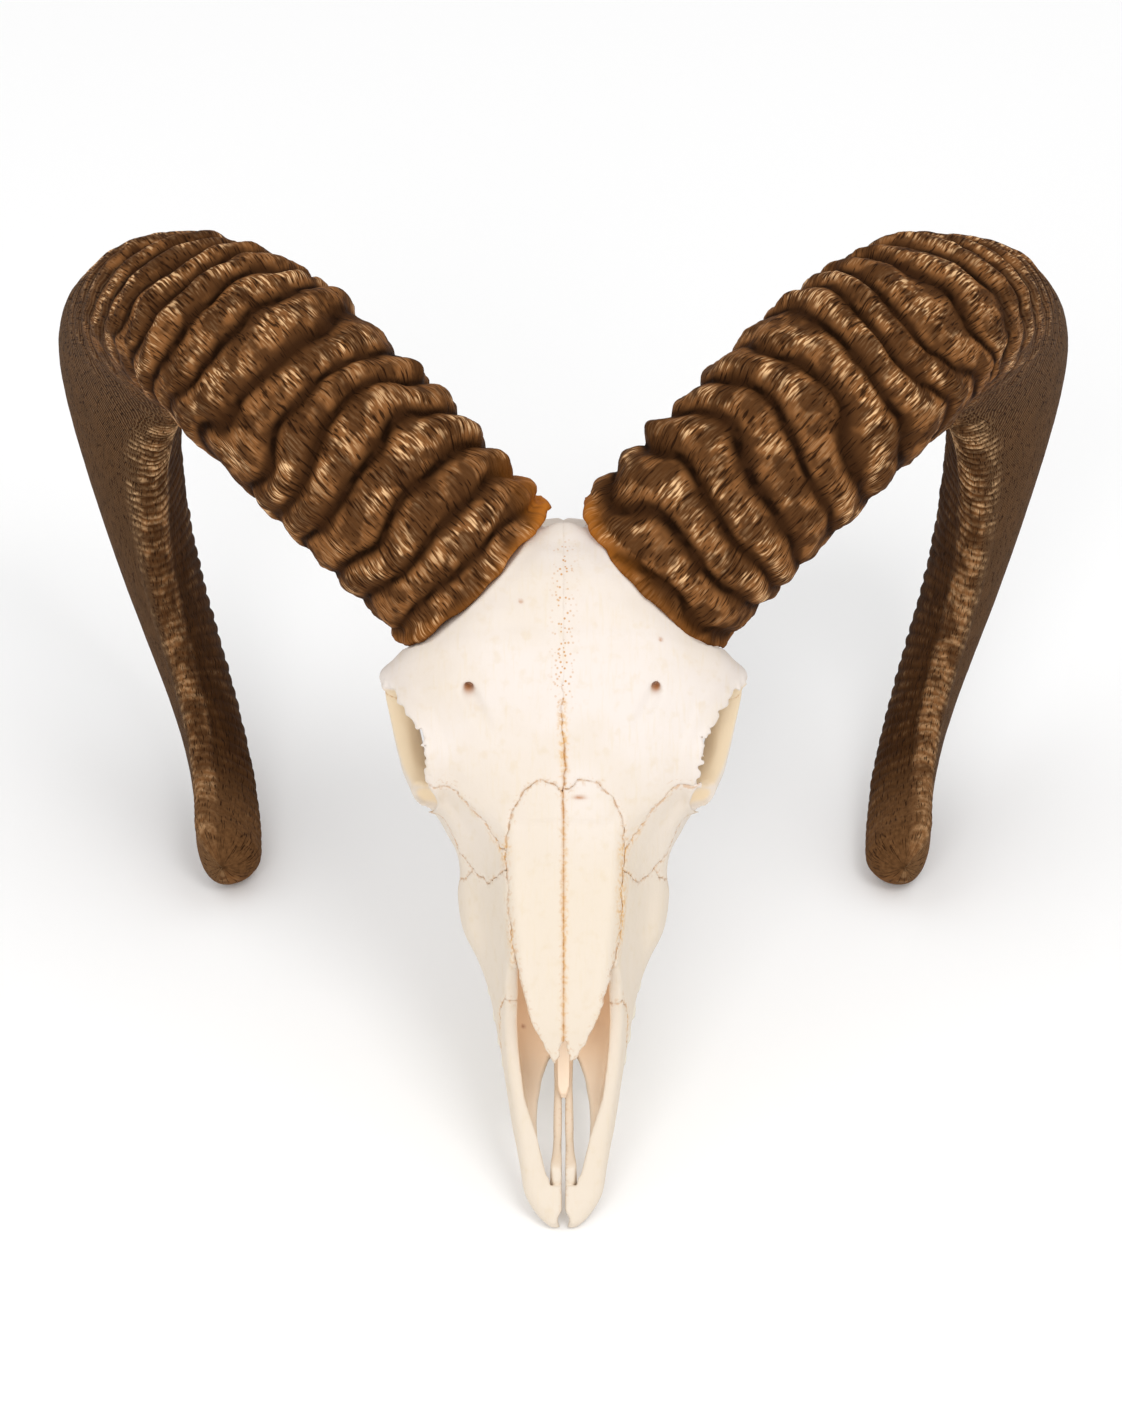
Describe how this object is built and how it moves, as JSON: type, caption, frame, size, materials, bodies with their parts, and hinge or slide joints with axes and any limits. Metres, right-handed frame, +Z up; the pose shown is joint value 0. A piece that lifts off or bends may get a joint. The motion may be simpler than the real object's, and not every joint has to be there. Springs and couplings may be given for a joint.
{
  "type": "mouflon skull with horns",
  "caption": "Still model of a mouflon ram's skull with both curled, ridged horns, cleaned bone without the lower jaw, lying nose down on its horns.",
  "frame": {"origin": "on the floor, under the middle of the whole skull and horns", "axes": "+Z up, the nose points to -Y, +X is the animal's left side"},
  "size_m": [0.3636, 0.3226, 0.2572],
  "materials": {
    "bone": "dry cleaned bone, creamy white, satin",
    "horn": "dark brown horn keratin with worn tan ridges, low gloss"
  },
  "bodies": {
    "root": {"nasal_left": "bone", "nasal_right": "bone", "premaxilla_left": "bone", "premaxilla_right": "bone", "frontal_left": "bone", "frontal_right": "bone", "lacrimal_left": "bone", "lacrimal_right": "bone", "zygomatic_left": "bone", "zygomatic_right": "bone", "maxilla_left": "bone", "maxilla_right": "bone", "cranium": "bone", "vomer": "bone", "horn_left": "horn", "horn_right": "horn"}
  },
  "joints": []
}
